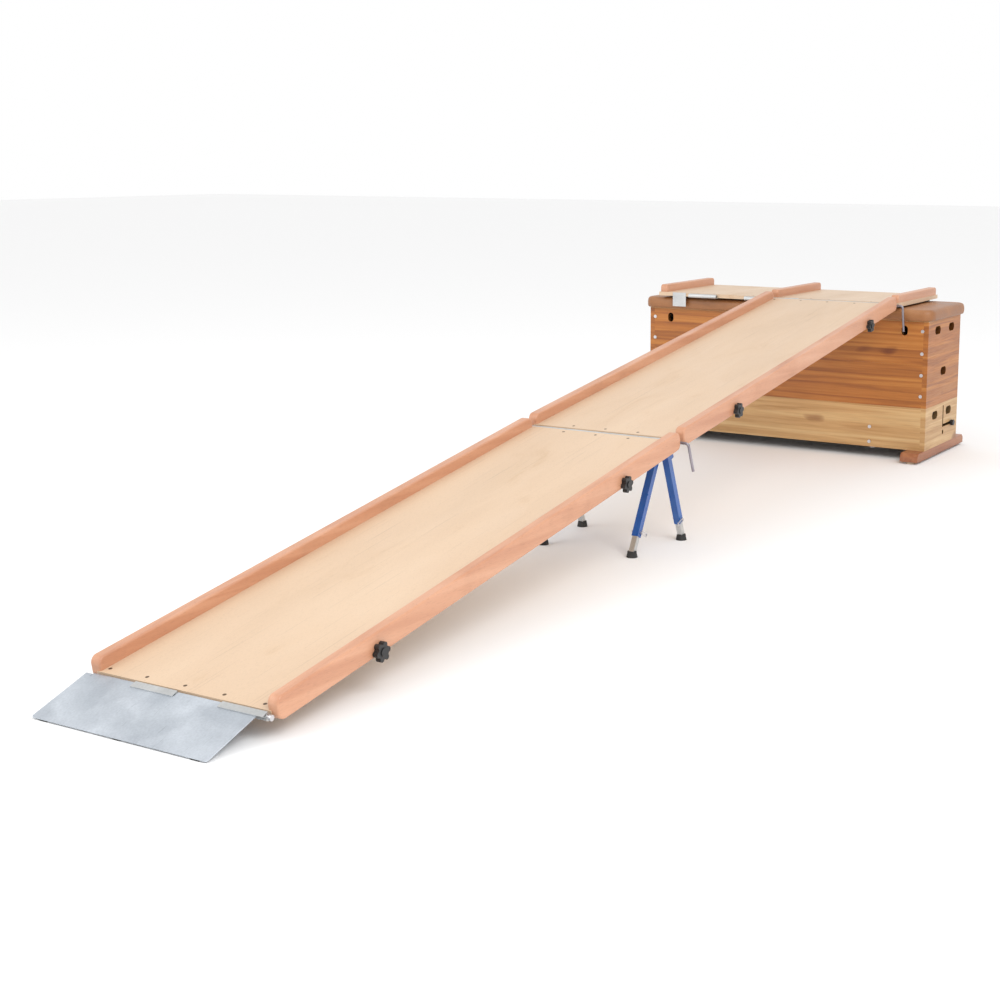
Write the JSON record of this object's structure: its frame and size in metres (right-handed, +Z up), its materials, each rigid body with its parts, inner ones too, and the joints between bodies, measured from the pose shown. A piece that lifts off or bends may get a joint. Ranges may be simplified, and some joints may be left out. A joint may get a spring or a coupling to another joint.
{
  "type": "gym ramp",
  "caption": "Folding two-section plywood ramp with side rails, hinged landing plate and folding trestle, hooked by a platform onto a stacking vaulting box.",
  "frame": {"origin": "on the floor, in the middle of the whole run and of the box's length", "axes": "+X up the ramp toward the box, +Y to the left of someone walking up it, +Z up"},
  "size_m": [5.0396, 1.5, 0.772],
  "materials": {
    "plywood": "clear varnish",
    "beech": "clear varnish",
    "galvanised_steel": "dull zinc",
    "zinc_steel": "zinc plated",
    "bright_steel": "bright plated",
    "black_plastic": "satin",
    "black_rubber": "matt",
    "blue_paint": "gloss powder coat",
    "orange_pine": "clear varnish, aged",
    "light_pine": "clear varnish",
    "red_pine": "varnish, aged",
    "glide_plastic": "satin",
    "leather": "smooth, worn"
  },
  "bodies": {
    "box_base": {"box_bottom_tier": "light_pine", "sledge_beams": "red_pine", "sledge_glides": "glide_plastic", "castor_brackets": "zinc_steel", "bottom_bolts": "bright_steel"},
    "castor_near": {"castor_axle_near": "bright_steel"},
    "castor_far": {"castor_axle_far": "bright_steel"},
    "lever": {"castor_lever": "black_plastic"},
    "middle_tier": {"box_middle_tier": "orange_pine", "middle_bolts": "bright_steel"},
    "top_tier": {"box_top_tier": "orange_pine", "top_bolts": "bright_steel"},
    "pad": {"box_pad": "leather", "box_pad_base": "light_pine"},
    "platform": {"platform_board": "plywood", "platform_rails": "beech", "platform_leaves": "zinc_steel", "platform_grips": "black_rubber", "platform_hooks": "zinc_steel", "platform_screws": "bright_steel"},
    "upper_ramp": {"upper_board": "plywood", "upper_rail_right": "beech", "upper_rail_left": "beech", "upper_low_leaf": "zinc_steel", "upper_top_leaf": "zinc_steel", "upper_screws": "bright_steel", "trestle_bracket": "zinc_steel", "trestle_bolts": "bright_steel"},
    "lower_ramp": {"lower_board": "plywood", "lower_rail_right": "beech", "lower_rail_left": "beech", "lower_front_leaf": "zinc_steel", "lower_top_leaf": "zinc_steel", "lower_edge_strip": "zinc_steel", "lower_screws": "bright_steel", "landing_pin": "bright_steel"},
    "landing": {"landing_plate": "galvanised_steel", "landing_buffers": "black_rubber"},
    "top_pin": {"top_pin": "bright_steel"},
    "mid_pin": {"mid_pin": "bright_steel"},
    "front_trestle": {"front_legs": "blue_paint", "front_crossbar": "blue_paint"},
    "rear_trestle": {"rear_legs": "blue_paint", "rear_crossbar": "blue_paint"},
    "lower_knob_front": {"lower_knob_front": "black_plastic"},
    "lower_knob_back": {"lower_knob_back": "black_plastic"},
    "upper_knob_front": {"upper_knob_front": "black_plastic"},
    "upper_knob_back": {"upper_knob_back": "black_plastic"},
    "front_near_leg": {"front_tube_near": "zinc_steel", "front_foot_near": "black_rubber"},
    "front_near_lock": {"front_lock_near": "bright_steel"},
    "front_far_leg": {"front_tube_far": "zinc_steel", "front_foot_far": "black_rubber"},
    "front_far_lock": {"front_lock_far": "bright_steel"},
    "rear_near_leg": {"rear_tube_near": "zinc_steel", "rear_foot_near": "black_rubber"},
    "rear_near_lock": {"rear_lock_near": "bright_steel"},
    "rear_far_leg": {"rear_tube_far": "zinc_steel", "rear_foot_far": "black_rubber"},
    "rear_far_lock": {"rear_lock_far": "bright_steel"}
  },
  "joints": [
    {"name": "castor_near_spin", "type": "hinge", "parent": "box_base", "child": "castor_near", "pos_m": [1.95478, -0.454, 0.066], "axis": [1, 0, 0], "continuous": true},
    {"name": "castor_far_spin", "type": "hinge", "parent": "box_base", "child": "castor_far", "pos_m": [1.95478, 0.454, 0.066], "axis": [1, 0, 0], "continuous": true},
    {"name": "lever_slide", "type": "slide", "parent": "box_base", "child": "lever", "axis": [-1, 0, 0], "range_m": [0, 0.11]},
    {"name": "middle_tier_lift", "type": "slide", "parent": "box_base", "child": "middle_tier", "axis": [0, 0, 1], "range_m": [0, 0.15]},
    {"name": "top_tier_lift", "type": "slide", "parent": "middle_tier", "child": "top_tier", "axis": [0, 0, 1], "range_m": [0, 0.15]},
    {"name": "pad_lift", "type": "slide", "parent": "top_tier", "child": "pad", "axis": [0, 0, 1], "range_m": [0, 0.15]},
    {"name": "platform_lift", "type": "slide", "parent": "pad", "child": "platform", "axis": [0, 0, 1], "range_m": [0, 0.08]},
    {"name": "top_hinge", "type": "hinge", "parent": "platform", "child": "upper_ramp", "pos_m": [1.89678, -0.271, 0.725], "axis": [0, 1, 0], "range_deg": [-35, 35]},
    {"name": "mid_hinge", "type": "hinge", "parent": "upper_ramp", "child": "lower_ramp", "pos_m": [-0.22036, -0.271, 0.413], "axis": [0, 1, 0], "range_deg": [-40, 40]},
    {"name": "landing_hinge", "type": "hinge", "parent": "lower_ramp", "child": "landing", "pos_m": [-2.33121, -0.271, 0.061], "axis": [0, -1, 0], "range_deg": [0, 90]},
    {"name": "top_pin_slide", "type": "slide", "parent": "platform", "child": "top_pin", "axis": [0, -1, 0], "range_m": [0, 0.62]},
    {"name": "mid_pin_slide", "type": "slide", "parent": "upper_ramp", "child": "mid_pin", "axis": [0, -1, 0], "range_m": [0, 0.62]},
    {"name": "lower_knob_front_turn", "type": "hinge", "parent": "lower_ramp", "child": "lower_knob_front", "pos_m": [-1.9309, -0.595, 0.12269], "axis": [0, 1, 0], "continuous": true},
    {"name": "lower_knob_back_turn", "type": "hinge", "parent": "lower_ramp", "child": "lower_knob_back", "pos_m": [-0.62987, -0.595, 0.33964], "axis": [0, 1, 0], "continuous": true},
    {"name": "upper_knob_front_turn", "type": "hinge", "parent": "upper_ramp", "child": "upper_knob_front", "pos_m": [0.20875, -0.595, 0.47118], "axis": [0, 1, 0], "continuous": true},
    {"name": "upper_knob_back_turn", "type": "hinge", "parent": "upper_ramp", "child": "upper_knob_back", "pos_m": [1.53344, -0.595, 0.6664], "axis": [0, 1, 0], "continuous": true},
    {"name": "front_legs_fold", "type": "hinge", "parent": "upper_ramp", "child": "front_trestle", "pos_m": [-0.10936, -0.251, 0.366], "axis": [0, -1, 0], "range_deg": [0, 22]},
    {"name": "front_near_extend", "type": "slide", "parent": "front_trestle", "child": "front_near_leg", "axis": [-0.4695, 0, -0.8829], "range_m": [0, 0.1]},
    {"name": "front_near_lock_slide", "type": "slide", "parent": "front_trestle", "child": "front_near_lock", "axis": [0, -1, 0], "range_m": [0, 0.055]},
    {"name": "front_far_extend", "type": "slide", "parent": "front_trestle", "child": "front_far_leg", "axis": [-0.4695, 0, -0.8829], "range_m": [0, 0.1]},
    {"name": "front_far_lock_slide", "type": "slide", "parent": "front_trestle", "child": "front_far_lock", "axis": [0, -1, 0], "range_m": [0, 0.055]},
    {"name": "rear_legs_fold", "type": "hinge", "parent": "upper_ramp", "child": "rear_trestle", "pos_m": [-0.10936, -0.251, 0.366], "axis": [0, 1, 0], "range_deg": [0, 15]},
    {"name": "rear_near_extend", "type": "slide", "parent": "rear_trestle", "child": "rear_near_leg", "axis": [0.3584, 0, -0.9336], "range_m": [0, 0.1]},
    {"name": "rear_near_lock_slide", "type": "slide", "parent": "rear_trestle", "child": "rear_near_lock", "axis": [0, -1, 0], "range_m": [0, 0.055]},
    {"name": "rear_far_extend", "type": "slide", "parent": "rear_trestle", "child": "rear_far_leg", "axis": [0.3584, 0, -0.9336], "range_m": [0, 0.1]},
    {"name": "rear_far_lock_slide", "type": "slide", "parent": "rear_trestle", "child": "rear_far_lock", "axis": [0, -1, 0], "range_m": [0, 0.055]}
  ]
}
